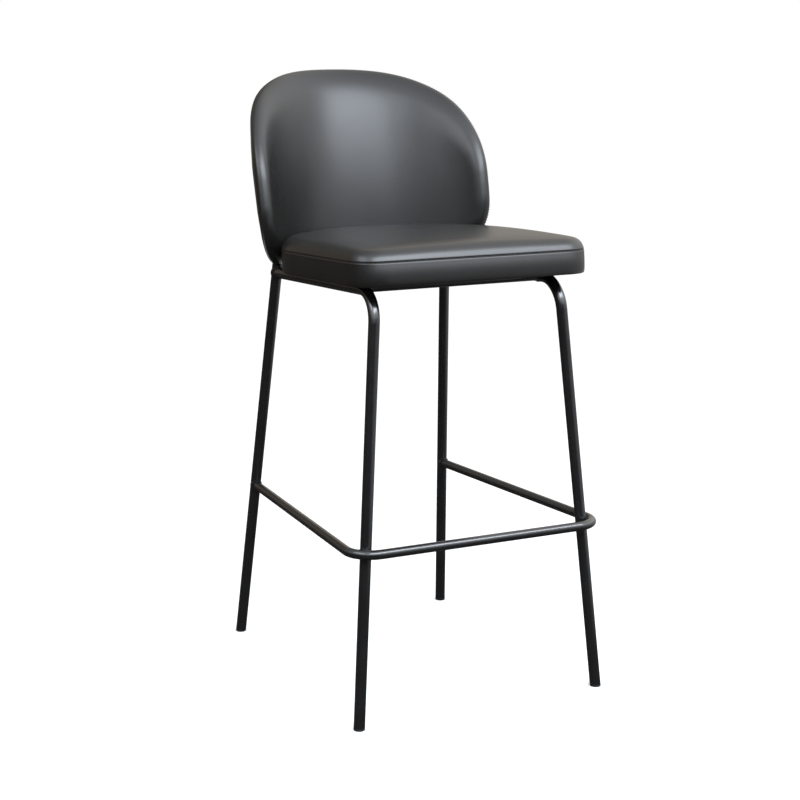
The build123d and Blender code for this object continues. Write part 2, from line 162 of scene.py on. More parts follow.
# %% Floor
FLOOR_HALF = 30.0
MIRRORED_TONE = (0.05, 0.045, 0.04, 1.0)
MIRRORED_RIGHT_TONE = (0.45, 0.45, 0.45, 1.0)
RIGHT_FLOOR = (0.3, 2.0)
floor_mesh = bpy.data.meshes.new("studio_floor")
corners = [(-FLOOR_HALF, -FLOOR_HALF, 0), (FLOOR_HALF, -FLOOR_HALF, 0),
           (FLOOR_HALF, FLOOR_HALF, 0), (-FLOOR_HALF, FLOOR_HALF, 0)]
floor_mesh.from_pydata(corners, [], [(0, 1, 2, 3)])
floor = bpy.data.objects.new("studio_floor", floor_mesh)
scene.collection.objects.link(floor)
floor_paper = bpy.data.materials.new("floor_paper")
floor_paper.use_nodes = True
tree = floor_paper.node_tree
tree.nodes.clear()
camera_ray = add_node(tree, "ShaderNodeLightPath").outputs["Is Camera Ray"]
place = add_node(tree, "ShaderNodeTexCoord").outputs["Object"]
across = add_node(tree, "ShaderNodeSeparateXYZ", {"Vector": place}).outputs["X"]
right = ramp(tree, across, RIGHT_FLOOR, "SMOOTHSTEP")
mirrored = mix(tree, right, MIRRORED_TONE, MIRRORED_RIGHT_TONE)
paper = add_node(tree, "ShaderNodeBsdfDiffuse", {"Color": mix(tree, camera_ray, mirrored, WHITE)})
add_node(tree, "ShaderNodeOutputMaterial", {"Surface": paper.outputs["BSDF"]})
floor_mesh.materials.append(floor_paper)
print("floor:", 2 * FLOOR_HALF, "m square")

# %% Lights
LIGHT_AIM = Vector((0.0, -0.05, 0.80))
LIGHTS = {
    # name: place, size across, size up, watts, colour
    "window_front": ((0.38, -2.03, 2.40), 3.3, 0.80, 92.0, (0.83, 0.905, 1.0)),
    "window_left": ((-2.15, -0.75, 2.35), 1.8, 0.8, 20.0, (0.88, 0.94, 1.0)),
}


def add_light(name, place, across, up, watts, colour):
    """Rectangular area light that faces the stool."""
    light_data = bpy.data.lights.new(name, "AREA")
    light_data.shape = "RECTANGLE"
    light_data.size = across
    light_data.size_y = up
    light_data.energy = watts
    light_data.color = colour
    light = bpy.data.objects.new(name, light_data)
    light.location = place
    light.rotation_euler = (LIGHT_AIM - light.location).to_track_quat("-Z", "Y").to_euler()
    scene.collection.objects.link(light)
    return light


for name, values in LIGHTS.items():
    add_light(name, *values)
print("lights:", ", ".join(LIGHTS))

# %% [markdown]
# ## Effects that several finishes share
# Two things turn up on nearly every surface. Cells: leather grain, the peel of a sprayed coat and the
# stipple of moulded plastic are all small bumps of one kind at different sizes. Mottle: gloss is never
# even, so a slow noise shifts it a little from place to place. Each is one node group, built once and
# placed in each finish with its own values. The groups give only heights and masks; the shader itself stays
# in the material.

# %% Shared node groups
CREASE_LIMITS = (0.0, 0.35)
NOISE_LIMITS = (0.3, 0.7)
NOISE_MIDDLE = 0.5
CELL_NOISE_DETAIL = 1.0
MOTTLE_NOISE_DETAIL = 3.0


def cell_group():
    """Height of small rounded cells with creases between them."""
    tree, given, result = new_group("rounded_cells", "ShaderNodeTree", [
        ("INPUT", "Vector", "NodeSocketVector", None),
        ("INPUT", "Cells per metre", "NodeSocketFloat", 800.0),
        ("INPUT", "Warp", "NodeSocketFloat", 0.3),
        ("OUTPUT", "Height", "NodeSocketFloat", None),
    ])
    noise = add_node(tree, "ShaderNodeTexNoise", {
        "Vector": given.outputs["Vector"], "Scale": given.outputs["Cells per metre"],
        "Detail": CELL_NOISE_DETAIL})
    shift = add_node(tree, "ShaderNodeVectorMath", {
        0: noise.outputs["Color"], 1: (-NOISE_MIDDLE, -NOISE_MIDDLE, -NOISE_MIDDLE)}, operation="ADD")
    amount = add_node(tree, "ShaderNodeMath", {
        0: given.outputs["Warp"], 1: given.outputs["Cells per metre"]}, operation="DIVIDE")
    warp = add_node(tree, "ShaderNodeVectorMath", {
        0: shift.outputs["Vector"], "Scale": amount.outputs["Value"]}, operation="SCALE")
    bent = add_node(tree, "ShaderNodeVectorMath", {
        0: given.outputs["Vector"], 1: warp.outputs["Vector"]}, operation="ADD")
    cells = add_node(tree, "ShaderNodeTexVoronoi", {
        "Vector": bent.outputs["Vector"], "Scale": given.outputs["Cells per metre"]},
        feature="DISTANCE_TO_EDGE")
    rounded = ramp(tree, cells.outputs["Distance"], CREASE_LIMITS, "SMOOTHSTEP")
    tree.links.new(rounded, result.inputs["Height"])
    return tree


def mottle_group():
    """Slow noise between two values."""
    tree, given, result = new_group("slow_mottle", "ShaderNodeTree", [
        ("INPUT", "Vector", "NodeSocketVector", None),
        ("INPUT", "Patches per metre", "NodeSocketFloat", 12.0),
        ("INPUT", "Lowest", "NodeSocketFloat", 0.0),
        ("INPUT", "Highest", "NodeSocketFloat", 1.0),
        ("OUTPUT", "Value", "NodeSocketFloat", None),
    ])
    noise = add_node(tree, "ShaderNodeTexNoise", {
        "Vector": given.outputs["Vector"], "Scale": given.outputs["Patches per metre"],
        "Detail": MOTTLE_NOISE_DETAIL})
    spread = add_node(tree, "ShaderNodeMapRange", {
        "Value": noise.outputs["Fac"], "From Min": NOISE_LIMITS[0], "From Max": NOISE_LIMITS[1],
        "To Min": given.outputs["Lowest"], "To Max": given.outputs["Highest"]})
    tree.links.new(spread.outputs["Result"], result.inputs["Value"])
    return tree


CELLS = cell_group()
MOTTLE = mottle_group()
print("groups:", CELLS.name, "and", MOTTLE.name)

# %% [markdown]
# ## Finishes
# A finish here is a Principled shader with three things wired: a colour that drifts between two near tones,
# a gloss that drifts with the mottle, and a bump from the cells. `finish` builds that once, and each
# material below only gives its own values. Numbers that are the same all over the surface sit on the
# shader's own sockets.

# %% Finish builder
GLOSS_PATCHES = 0.6  # patches of gloss for each patch of tone


def finish(name, dark, light, gloss, patches, cells, bump, bump_depth, warp=0.3, **constants):
    """Material of two near tones, mottled roughness from gloss[0] to gloss[1] and a cell bump."""
    material = bpy.data.materials.new(name)
    material.use_nodes = True
    tree = material.node_tree
    shader = tree.nodes["Principled BSDF"]
    place = add_node(tree, "ShaderNodeTexCoord").outputs["Object"]
    tone_mask = add_node(tree, "ShaderNodeGroup", {
        "Vector": place, "Patches per metre": patches}, node_tree=MOTTLE)
    gloss_mask = add_node(tree, "ShaderNodeGroup", {
        "Vector": place, "Patches per metre": patches * GLOSS_PATCHES,
        "Lowest": gloss[0], "Highest": gloss[1]}, node_tree=MOTTLE)
    grain = add_node(tree, "ShaderNodeGroup", {
        "Vector": place, "Cells per metre": cells, "Warp": warp}, node_tree=CELLS)
    relief = add_node(tree, "ShaderNodeBump", {
        "Strength": bump, "Distance": bump_depth, "Height": grain.outputs["Height"]})
    tone = mix(tree, tone_mask.outputs["Value"], (*dark, 1.0), (*light, 1.0))
    tree.links.new(tone, shader.inputs["Base Color"])
    tree.links.new(gloss_mask.outputs["Value"], shader.inputs["Roughness"])
    tree.links.new(relief.outputs["Normal"], shader.inputs["Normal"])
    for socket, value in constants.items():
        shader.inputs[socket.replace("_", " ")].default_value = value
    return material


# %% Leather
LEATHER = finish("smooth_black_leather", dark=(0.0068, 0.0065, 0.0062), light=(0.0095, 0.0091, 0.0087),
                 gloss=(0.31, 0.36), patches=9.0, cells=950.0, warp=0.5, bump=0.16, bump_depth=0.00015,
                 Specular_IOR_Level=0.55)
THREAD = finish("black_thread", dark=(0.010, 0.010, 0.011), light=(0.030, 0.030, 0.032),
                gloss=(0.50, 0.65), patches=900.0, cells=4000.0, bump=0.3, bump_depth=0.0001)
print("leather:", LEATHER.name, "| thread:", THREAD.name)

# %% Frame finishes
POWDER_COAT = finish("black_powder_coat", dark=(0.007, 0.007, 0.008), light=(0.011, 0.011, 0.012),
                     gloss=(0.14, 0.19), patches=25.0, cells=700.0, warp=1.2, bump=0.10, bump_depth=0.0002,
                     Specular_IOR_Level=0.85)
GLIDE_PLASTIC = finish("black_glide_plastic", dark=(0.012, 0.012, 0.012), light=(0.020, 0.020, 0.020),
                       gloss=(0.48, 0.58), patches=60.0, cells=1800.0, warp=0.8, bump=0.25, bump_depth=0.0001)
ZINC = finish("zinc_plate", dark=(0.50, 0.51, 0.53), light=(0.66, 0.67, 0.68),
              gloss=(0.28, 0.42), patches=140.0, cells=2500.0, warp=0.8, bump=0.08, bump_depth=0.0001,
              Metallic=1.0)
print("frame:", POWDER_COAT.name, GLIDE_PLASTIC.name, ZINC.name)

# %% Plywood and the cloth under the seat
PLY_THICKNESS = 0.0024
WAVE_PER_VENEER = 6.3  # turns a thickness into the Wave node's scale
VENEER_WAVER = 0.6
VENEER_DARK = (0.30, 0.19, 0.10, 1.0)
VENEER_PALE = (0.52, 0.37, 0.22, 1.0)
VENEER_GLOSS = (0.6, 0.8)
CLOTH = finish("black_lining_cloth", dark=(0.010, 0.010, 0.010), light=(0.026, 0.026, 0.026),
               gloss=(0.80, 0.92), patches=700.0, cells=1400.0, warp=2.0, bump=0.5, bump_depth=0.0002)


def plywood():
    """Pale veneers stacked along Z, every second one seen end-on."""
    material = bpy.data.materials.new("birch_plywood")
    material.use_nodes = True
    tree = material.node_tree
    shader = tree.nodes["Principled BSDF"]
    place = add_node(tree, "ShaderNodeTexCoord").outputs["Object"]
    veneers = add_node(tree, "ShaderNodeTexWave", {
        "Vector": place, "Scale": 1.0 / PLY_THICKNESS / WAVE_PER_VENEER, "Distortion": VENEER_WAVER},
        bands_direction="Z")
    gloss = add_node(tree, "ShaderNodeGroup", {
        "Vector": place, "Lowest": VENEER_GLOSS[0], "Highest": VENEER_GLOSS[1]}, node_tree=MOTTLE)
    tone = mix(tree, veneers.outputs["Fac"], VENEER_DARK, VENEER_PALE)
    tree.links.new(tone, shader.inputs["Base Color"])
    tree.links.new(gloss.outputs["Value"], shader.inputs["Roughness"])
    return material


PLYWOOD = plywood()
print("under the seat:", PLYWOOD.name, CLOTH.name)

# %% [markdown]
# ## Dress the hard parts
# The tubes, welds, tabs, fasteners and feet keep their measured shape. Each node's object only gets a
# finish, chosen by what its name starts with. A node that stands for a soft piece is replaced further down,
# so it isn't listed.

# %% Dress the hard parts
DRESS = {
    "front_leg": POWDER_COAT, "rear_leg": POWDER_COAT, "footrest": POWDER_COAT, "rail_welds": POWDER_COAT,
    "front_cross": POWDER_COAT, "rear_cross": POWDER_COAT, "cross_tube": POWDER_COAT, "seat_tab": POWDER_COAT,
    "back_strap": POWDER_COAT, "foot_glide": GLIDE_PLASTIC, "seat_bolts": ZINC, "bolt_washers": ZINC,
    "tee_nuts": ZINC, "seat_board": PLYWOOD,
}
dressed = 0
for name, node in nodes.items():
    for start, material in DRESS.items():
        if name.startswith(start):
            node.data.materials.clear()
            node.data.materials.append(material)
            dressed += 1
print("dressed:", dressed, "of", len(nodes), "nodes")

# %% [markdown]
# ## How a pad is drawn
# A sewn pad is a skin round foam: a rim that follows an outline, and two faces that close it. The rim is
# drawn as rings of points, each ring the outline moved inwards by a known amount. Each face is filled with
# a Coons patch, a grid that blends the four sides of its edge, so the whole skin is evenly spaced quads.
# Quads of one size matter here, because the cloth simulation that follows stretches every edge alike.

# %% Outlines
FINE_STEPS = 96
share = np.linspace(0.0, 1.0, FINE_STEPS)


def trace(start, runs, bend):
    """Fine points and outward normals along straight and curved runs that start along the first axis.

    A run is (length, None) or (radius, turn in degrees). bend is 1 for left turns and -1 for right turns.
    """
    spot = np.array(start, float)
    heading = 0.0
    points, normals = [], []
    for size, turn in runs:
        if turn is None:
            angle = np.full(FINE_STEPS, heading)
            step = size * share[:, None] * np.array([math.cos(heading), math.sin(heading)])
        else:
            angle = heading + bend * math.radians(turn) * share
            swing = np.stack([np.sin(angle) - math.sin(heading), math.cos(heading) - np.cos(angle)], 1)
            step = bend * size * swing
        points.append(spot + step)
        normals.append(bend * np.stack([np.sin(angle), -np.cos(angle)], 1))
        spot = points[-1][-1]
        heading = angle[-1]
    return np.concatenate(points), np.concatenate(normals)


def distances(points):
    """Distance along a line of points from its start to each of them."""
    return np.concatenate([[0.0], np.cumsum(np.linalg.norm(np.diff(points, axis=0), axis=1))])


def ring_places(length, first_corner, second_corner, across, along):
    """Evenly spaced places round a closed outline, given as distance from its middle and a side, -1 or 1."""
    marks = [-first_corner, first_corner, second_corner,
             2 * length - second_corner, 2 * length - first_corner]
    counts = [across, along, across, along]
    spans = [np.linspace(a, b, n, endpoint=False) for a, b, n in zip(marks, marks[1:], counts)]
    place = (np.concatenate(spans) + length) % (2 * length) - length
    return np.abs(place), np.where(place < 0, -1.0, 1.0)


def along_outline(measure, values, places):
    """Values read off at distances along a fine outline."""
    return np.stack([np.interp(places, measure, column) for column in values.T], 1)


def leaning_axes(lean):
    """Axes of a frame that leans back by an angle, one in each row."""
    return np.array([[1, 0, 0], [0, math.cos(lean), -math.sin(lean)], [0, math.sin(lean), math.cos(lean)]])


def swept(angle):
    """Two legs of a curve whose direction turns by the given angles from the first leg to the second."""
    steps = np.stack([np.cos(angle), np.sin(angle)])
    middles = (steps[:, 1:] + steps[:, :-1]) / 2
    return np.concatenate([np.zeros((2, 1)), np.cumsum(middles, axis=1)], axis=1)


# %% Skin of rings and Coons patches
def coons(edge, across, along):
    """Inner points of the grid that fills a closed edge, row by row."""
    i = np.arange(1, across)
    j = np.arange(1, along)
    u = (i / across)[None, :, None]
    v = (j / along)[:, None, None]
    front, right = edge[i][None], edge[across + j][:, None]
    rear, left = edge[2 * across + along - i][None], edge[-j][:, None]
    corner = edge[[0, across, across + along, 2 * across + along]]
    blend = ((1 - u) * (1 - v) * corner[0] + u * (1 - v) * corner[1]
             + u * v * corner[2] + (1 - u) * v * corner[3])
    grid = (1 - v) * front + v * rear + (1 - u) * left + u * right - blend
    return grid.reshape(-1, edge.shape[1])


def cap_faces(ring_start, cap_start, across, along):
    """Quads of the grid that fills a ring, from the first vertex of the ring and of the inner points."""
    count = 2 * (across + along)
    grid = np.empty((along + 1, across + 1), int)
    i, j = np.arange(across + 1), np.arange(along + 1)
    grid[1:-1, 1:-1] = cap_start + np.arange((across - 1) * (along - 1)).reshape(along - 1, across - 1)
    grid[0, :] = ring_start + i
    grid[:, across] = ring_start + across + j
    grid[along, :] = ring_start + 2 * across + along - i
    grid[:, 0] = ring_start + (count - j) % count
    quads = np.stack([grid[:-1, :-1], grid[:-1, 1:], grid[1:, 1:], grid[1:, :-1]], -1)
    return quads.reshape(-1, 4).tolist()


def ring_vertices(rings, size):
    """Vertices of some of the rings, which are all of one size."""
    return [ring * size + i for ring in rings for i in range(size)]


def skin(name, rings, first_cap, last_cap, across, along, material):
    """Closed quad mesh: rings in order, with a filled face on the first and the last."""
    count = len(rings[0])
    faces = []
    for k in range(len(rings) - 1):
        here = k * count + np.arange(count)
        after = k * count + (np.arange(count) + 1) % count
        faces += np.stack([here, after, after + count, here + count], 1).tolist()
    cap_start = len(rings) * count
    faces += cap_faces(0, cap_start, across, along)
    faces += cap_faces((len(rings) - 1) * count, cap_start + len(first_cap), across, along)
    mesh = bpy.data.meshes.new(name)
    mesh.from_pydata(np.concatenate([*rings, first_cap, last_cap]).tolist(), [], faces)
    work = bmesh.new()
    work.from_mesh(mesh)
    bmesh.ops.recalc_face_normals(work, faces=work.faces)
    work.to_mesh(mesh)
    work.free()
    mesh.shade_smooth()
    mesh.materials.append(material)
    piece = bpy.data.objects.new(name, mesh)
    scene.collection.objects.link(piece)
    return piece


# %% [markdown]
# ## Swelling a pad
# Foam under a tight cover pushes it out evenly, most in the middle of a face and not at all at a seam. The
# pad's skin becomes cloth with a little air pressure inside, no gravity, and its seam rings pinned. Twenty
# frames are enough for it to settle. No point may move further than a cap. Cloth also wrinkles in its own
# plane, which tight leather does not show, so only the outward part is kept and spread over the neighbours.
# Then one subdivision smooths the quads. Round the corners of a filled face three quads meet, and there the
# skin can be eased as well.

# %% Swell and settle
SWELL_FRAMES = 20
SWELL_PRESSURE = 4.0
CLOTH_QUALITY = 6
COVER_STIFFNESS = 30.0
COVER_BENDING = 2.0
PINNED_BESIDE = 2
RELAX_ROUNDS = 14
EASE_ROUNDS = 25


def coordinates(mesh):
    """Places of a mesh's vertices, one in each row."""
    flat = np.empty(3 * len(mesh.vertices))
    mesh.vertices.foreach_get("co", flat)
    return flat.reshape(-1, 3)


def settle(piece):
    """Turns what the modifiers show into the piece's own plain mesh."""
    evaluated = piece.evaluated_get(bpy.context.evaluated_depsgraph_get())
    mesh = bpy.data.meshes.new_from_object(evaluated)
    piece.modifiers.clear()
    piece.data = mesh


def averager(mesh):
    """Function that gives each vertex the mean of its neighbours' values along the edges."""
    edges = np.array([edge.vertices for edge in mesh.edges])
    ends = np.concatenate([edges, edges[:, ::-1]])
    count = len(mesh.vertices)
    degree = np.bincount(ends[:, 0], minlength=count)

    def average(values):
        return np.bincount(ends[:, 0], weights=values[ends[:, 1]], minlength=count) / degree

    return average


def relax(values, mesh, fixed):
    """Spreads a value over the neighbours, with some vertices held at nought."""
    average = averager(mesh)
    for _ in range(RELAX_ROUNDS):
        values = average(values)
        values[fixed] = 0.0
    return values


def ease(piece, spots, reach):
    """Evens out the skin round the corners of its filled faces, where three quads meet."""
    mesh = piece.data
    points = coordinates(mesh)
    average = averager(mesh)
    away = np.min([np.linalg.norm(points - spot, axis=1) for spot in spots], axis=0)
    weight = np.clip(1 - away / reach, 0.0, 1.0)[:, None]
    for _ in range(EASE_ROUNDS):
        middle = np.stack([average(column) for column in points.T], axis=1)
        points = points + weight * (middle - points)
    mesh.vertices.foreach_set("co", points.ravel())
    mesh.update()


def swell(piece, pinned, cap):
    """Blows the skin up a little against its pinned seams, then subdivides it once."""
    before = coordinates(piece.data)
    outward = np.array([vertex.normal for vertex in piece.data.vertices])
    group = piece.vertex_groups.new(name="seams")
    group.add([int(i) for i in pinned], 1.0, "REPLACE")
    cloth = piece.modifiers.new("cover", "CLOTH")
    cloth.settings.quality = CLOTH_QUALITY
    cloth.settings.tension_stiffness = COVER_STIFFNESS
    cloth.settings.compression_stiffness = COVER_STIFFNESS
    cloth.settings.bending_stiffness = COVER_BENDING
    cloth.settings.use_pressure = True
    cloth.settings.uniform_pressure_force = SWELL_PRESSURE
    cloth.settings.effector_weights.gravity = 0.0
    cloth.settings.vertex_group_mass = group.name
    cloth.point_cache.frame_end = SWELL_FRAMES
    for frame_number in range(1, SWELL_FRAMES + 1):
        scene.frame_set(frame_number)
    settle(piece)
    reach = np.sum((coordinates(piece.data) - before) * outward, axis=1)
    lift = relax(np.clip(reach, 0.0, cap), piece.data, pinned)
    piece.data.vertices.foreach_set("co", (before + outward * lift[:, None]).ravel())
    piece.vertex_groups.clear()
    scene.frame_set(1)
    print(piece.name, "swelled by up to", round(1000 * float(reach.max()), 2), "mm, kept to", 1000 * cap)
    smooth = piece.modifiers.new("smooth", "SUBSURF")
    smooth.levels = 1
    smooth.render_levels = 1
    settle(piece)


# %% [markdown]
# ## Seat pad
# The seat is boxed: a band stands round the plywood board and a crowned top panel is sewn to it, with the
# seam about three fifths of the way up. Its plan has a straight front with rounded corners, straight sides,
# and a round rear that follows the backrest. The band bulges, most in front, and the top edge rolls over on
# a wide radius: full at the sides, softer in front, flatter round the rear where the backrest presses on
# it. The seat's own plane leans back by about two and a half degrees, as the rails under it do.

# %% Seat sizes
SEAT_TILT = math.radians(2.425)
SEAT_ORIGIN = np.array([0.0, 0.0, 0.7099])
SEAT_HALF_WIDTH = 0.217
SEAT_FRONT = -0.2944
SEAT_REAR_CENTRE = -0.0234
SEAT_CORNER_R = 0.050
SEAT_BOTTOM = 0.0008
SEAT_SEAM = 0.0402
SEAT_EDGE_TOP = 0.0645
SEAT_CROWN = 0.0045
SEAT_BASE_R = 0.003
SEAT_ACROSS = 44
SEAT_ALONG = 46
seat_axes = leaning_axes(SEAT_TILT)

seat_line, seat_out = trace((0.0, SEAT_FRONT), [
    (SEAT_HALF_WIDTH - SEAT_CORNER_R, None),
    (SEAT_CORNER_R, 90.0),
    (SEAT_REAR_CENTRE - SEAT_FRONT - SEAT_CORNER_R, None),
    (SEAT_HALF_WIDTH, 90.0)], bend=1)
seat_measure = distances(seat_line)
seat_half_length = seat_measure[-1]
front_corner = SEAT_HALF_WIDTH - SEAT_CORNER_R + SEAT_CORNER_R * math.pi / 4
rear_corner = seat_half_length - SEAT_HALF_WIDTH * math.pi / 4
places, sides = ring_places(seat_half_length, front_corner, rear_corner, SEAT_ACROSS, SEAT_ALONG)
mirror = np.stack([sides, np.ones_like(sides)], 1)
seat_edge = along_outline(seat_measure, seat_line, places) * mirror
seat_outward = along_outline(seat_measure, seat_out, places) * mirror
seat_outward /= np.linalg.norm(seat_outward, axis=1)[:, None]
print("seat outline:", round(2 * seat_half_length, 3), "m round,", len(seat_edge), "points")

# %% Crown and band
SEAT_SLACK = 0.0015
SIDE_R = 0.075
SIDE_WIDEST = 0.015
SIDE_BULGE = 0.1
BULGE_POWER = 3.0
crown_r = (SEAT_HALF_WIDTH ** 2 + SEAT_CROWN ** 2) / (2 * SEAT_CROWN)
seat_middle = (SEAT_FRONT + SEAT_REAR_CENTRE + SEAT_HALF_WIDTH) / 2


def crown_height(plan):
    """Height of the crowned top over points of the plan."""
    across = np.hypot(plan[:, 0], plan[:, 1] - seat_middle)
    return SEAT_EDGE_TOP + SEAT_CROWN - crown_r + np.sqrt(crown_r ** 2 - across ** 2)


def side_inset(height):
    """How far the band stands in from the outline. It bulges, most in front."""
    forward = np.clip(-seat_outward[:, 1], 0.0, 1.0)
    bulging = SIDE_BULGE + (1.0 - SIDE_BULGE) * forward ** BULGE_POWER
    return bulging * (height - SIDE_WIDEST) ** 2 / (2 * SIDE_R)


def seat_world(plan, height):
    """Points of the plan, at heights above the seat's own plane, in the stool's frame."""
    local = np.column_stack([plan, np.broadcast_to(height, len(plan))])
    return SEAT_ORIGIN + local @ seat_axes


def seat_ring(inset, height):
    """The seat's outline moved in, at a height."""
    return seat_world(seat_edge - seat_outward * np.reshape(inset, (-1, 1)), height)


print("crown:", round(crown_r, 2), "m radius, band of", round(1000 * SIDE_R), "mm radius in front")

# %% Roll above the seam
# in front, at the sides and round the rear, as angles from the upright
ROLL_STARTS = np.radians([17.0, 14.0, 26.0])
ROLL_END = math.radians(88.0)
CROWN_ROUNDS = 3
rearward = seat_outward[:, 1]
facing = [np.clip(-rearward, 0.0, 1.0), 1.0 - np.abs(rearward), np.clip(rearward, 0.0, 1.0)]


def seat_roll(start):
    """Rise and run of the roll above the seam, as shares of its height."""
    up, inward = swept(start + (ROLL_END - start) * (3 - 2 * share) * share ** 2)
    return up / up[-1], inward / up[-1]


rolls = [seat_roll(start) for start in ROLL_STARTS]


def roll_at(step):
    """Rise and run at one step round the seat: a blend of the front's, the sides' and the rear's roll."""
    rise = sum(weight * np.interp(step, share, roll[0]) for weight, roll in zip(facing, rolls))
    run = sum(weight * np.interp(step, share, roll[1]) for weight, roll in zip(facing, rolls))
    return rise, run


seam_inset = side_inset(SEAT_SEAM)
roll_height = np.full(len(seat_edge), SEAT_EDGE_TOP - SEAT_SEAM)
for _ in range(CROWN_ROUNDS):
    top_inset = seam_inset + roll_height * roll_at(1.0)[1]
    roll_height = crown_height(seat_edge - seat_outward * top_inset[:, None]) - SEAT_SLACK - SEAT_SEAM
print("roll above the seam:", round(1000 * float(roll_height.mean()), 1), "mm high")

# %% Seat rings
BASE_TURNS = np.radians([0.0, 30.0, 60.0])
BAND_HEIGHTS = (0.007, 0.012, 0.018, 0.024, 0.030, 0.035, 0.038, 0.0393, SEAT_SEAM)
ROLL_STEPS = (0.028, 0.06, 0.12, 0.20, 0.29, 0.38, 0.48, 0.58, 0.68, 0.79, 0.90, 1.0)
base_inset = side_inset(SEAT_BOTTOM) + SEAT_BASE_R
seat_rings = []
for turn in BASE_TURNS:
    inset = base_inset - SEAT_BASE_R * math.sin(turn)
    seat_rings.append(seat_ring(inset, SEAT_BOTTOM + SEAT_BASE_R * (1 - math.cos(turn))))
pinned_rings = list(range(len(seat_rings)))
for height in BAND_HEIGHTS:
    seat_rings.append(seat_ring(side_inset(height), height))
seam_ring = len(seat_rings) - 1
for step in ROLL_STEPS:
    rise, run = roll_at(step)
    seat_rings.append(seat_ring(seam_inset + roll_height * run, SEAT_SEAM + roll_height * rise))
pinned_rings += range(seam_ring - PINNED_BESIDE, seam_ring + PINNED_BESIDE + 1)
print("seat rings:", len(seat_rings), "of", len(seat_edge), "points, seam is ring", seam_ring)

# %% Seat pad
SEAT_SWELL_CAP = 0.0035
base_plan = coons(seat_edge - seat_outward * base_inset[:, None], SEAT_ACROSS, SEAT_ALONG)
top_plan = coons(seat_edge - seat_outward * top_inset[:, None], SEAT_ACROSS, SEAT_ALONG)
base_cap = seat_world(base_plan, SEAT_BOTTOM)
top_cap = seat_world(top_plan, crown_height(top_plan) - SEAT_SLACK)
seat_pad = skin("seat_pad", seat_rings, base_cap, top_cap, SEAT_ACROSS, SEAT_ALONG, LEATHER)
rim_vertices = len(seat_rings) * len(seat_edge)
pinned = ring_vertices(pinned_rings, len(seat_edge))
pinned += range(rim_vertices, rim_vertices + len(base_cap))
swell(seat_pad, pinned, SEAT_SWELL_CAP)
print("seat pad:", len(seat_pad.data.polygons), "quads")

# %% [markdown]
# The seam comes after the swelling, so that it stays crisp. Where the panel meets the band, both turn in to
# the stitch line: the skin sinks in a narrow groove, and each lip beside it stands a little proud.

# %% Seat seam
SEAM_DEPTH = 0.0013
SEAM_WIDTH = 0.0009
LIP_HEIGHT = 0.00015
LIP_OFFSET = 0.0026
LIP_SHARPNESS = 1.6


def press_seam(piece, distance):
    """Sinks a groove where distance is nought and raises a lip on either side, along the vertex normals."""
    mesh = piece.data
    points = coordinates(mesh)
    normals = np.array([vertex.normal for vertex in mesh.vertices])
    groove = SEAM_DEPTH * np.exp(-(distance / SEAM_WIDTH) ** 2)
    lip = LIP_HEIGHT * np.exp(-((np.abs(distance) - LIP_OFFSET) / LIP_OFFSET * LIP_SHARPNESS) ** 2)
    mesh.vertices.foreach_set("co", (points + normals * (lip - groove)[:, None]).ravel())
    mesh.update()


seat_heights = (coordinates(seat_pad.data) - SEAT_ORIGIN) @ seat_axes[2]
press_seam(seat_pad, seat_heights - SEAT_SEAM)
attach(seat_pad, "root")
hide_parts("seat_top_cover", "seat_boxing_band", "seat_foam")
print("seat seam pressed", 1000 * SEAM_DEPTH, "mm deep at", 1000 * SEAT_SEAM, "mm")

# %% [markdown]
# ## Backrest
# The backrest is a moulded foam shell in two covers, one inside and one outside, joined in a seam round the
# rim. Its inner face starts from a cylinder whose axis leans back. Laid flat, either half has one smooth
# outline: a wide arch on top, a rounder shoulder, a nearly straight wing and a round lower corner. The
# padding domes the inner face in the middle and thins out towards the wings, and a long soft roll leads
# from it into the rim. The outer face is a wider cylinder set further back, so that there is room for the
# uprights inside.

# %% Backrest sizes
BACK_LEAN = math.radians(14.5)
BACK_ORIGIN = np.array([0.0, -0.02753, 0.77772])
BACK_INNER_R = 0.230
BACK_RIM_R = 0.2425
BACK_OUTER_R = 0.2484
BACK_OUTER_SHIFT = 0.02161
BACK_TOP = 0.3412
BACK_ACROSS = 60
BACK_ALONG = 34
HALF_VIEW = math.radians(45.0)
# radius and turn in degrees of the outline's arcs, from the middle of the top
TOP_ARC = (0.3035, 36.0)
SHOULDER_ARC = (0.2045, 54.0)
WING_ARC = (0.676, 4.26)
LOWER_ARC = (0.0994, 90.0 - WING_ARC[1])
# where the corners of the grid lie, counted in arcs
SHOULDER_MARK = 1.55
LOWER_MARK = 3.5
back_axes = leaning_axes(BACK_LEAN)

half_start = -BACK_RIM_R * math.sin(HALF_VIEW)
back_runs = [TOP_ARC, SHOULDER_ARC, WING_ARC, LOWER_ARC]
corner_end = trace((half_start, BACK_TOP), back_runs, bend=-1)[0][-1]
back_runs.append((corner_end[0] - half_start, None))
back_line, back_out = trace((half_start, BACK_TOP), back_runs, bend=-1)


def wrap_angle(u, radius):
    """Angle round the axis of a point seen at u along the middle of its half."""
    wing = np.arcsin(np.clip(np.maximum(u, 0.0) / radius, -1.0, 1.0))
    inner = np.arcsin(np.clip(np.minimum(u, 0.0) / BACK_RIM_R, -1.0, 1.0))
    return HALF_VIEW + wing + inner


def outer_radius(angle):
    """Distance from the axis to the outer face."""
    aside = BACK_OUTER_SHIFT * np.sin(angle)
    return BACK_OUTER_SHIFT * np.cos(angle) + np.sqrt(BACK_OUTER_R ** 2 - aside ** 2)


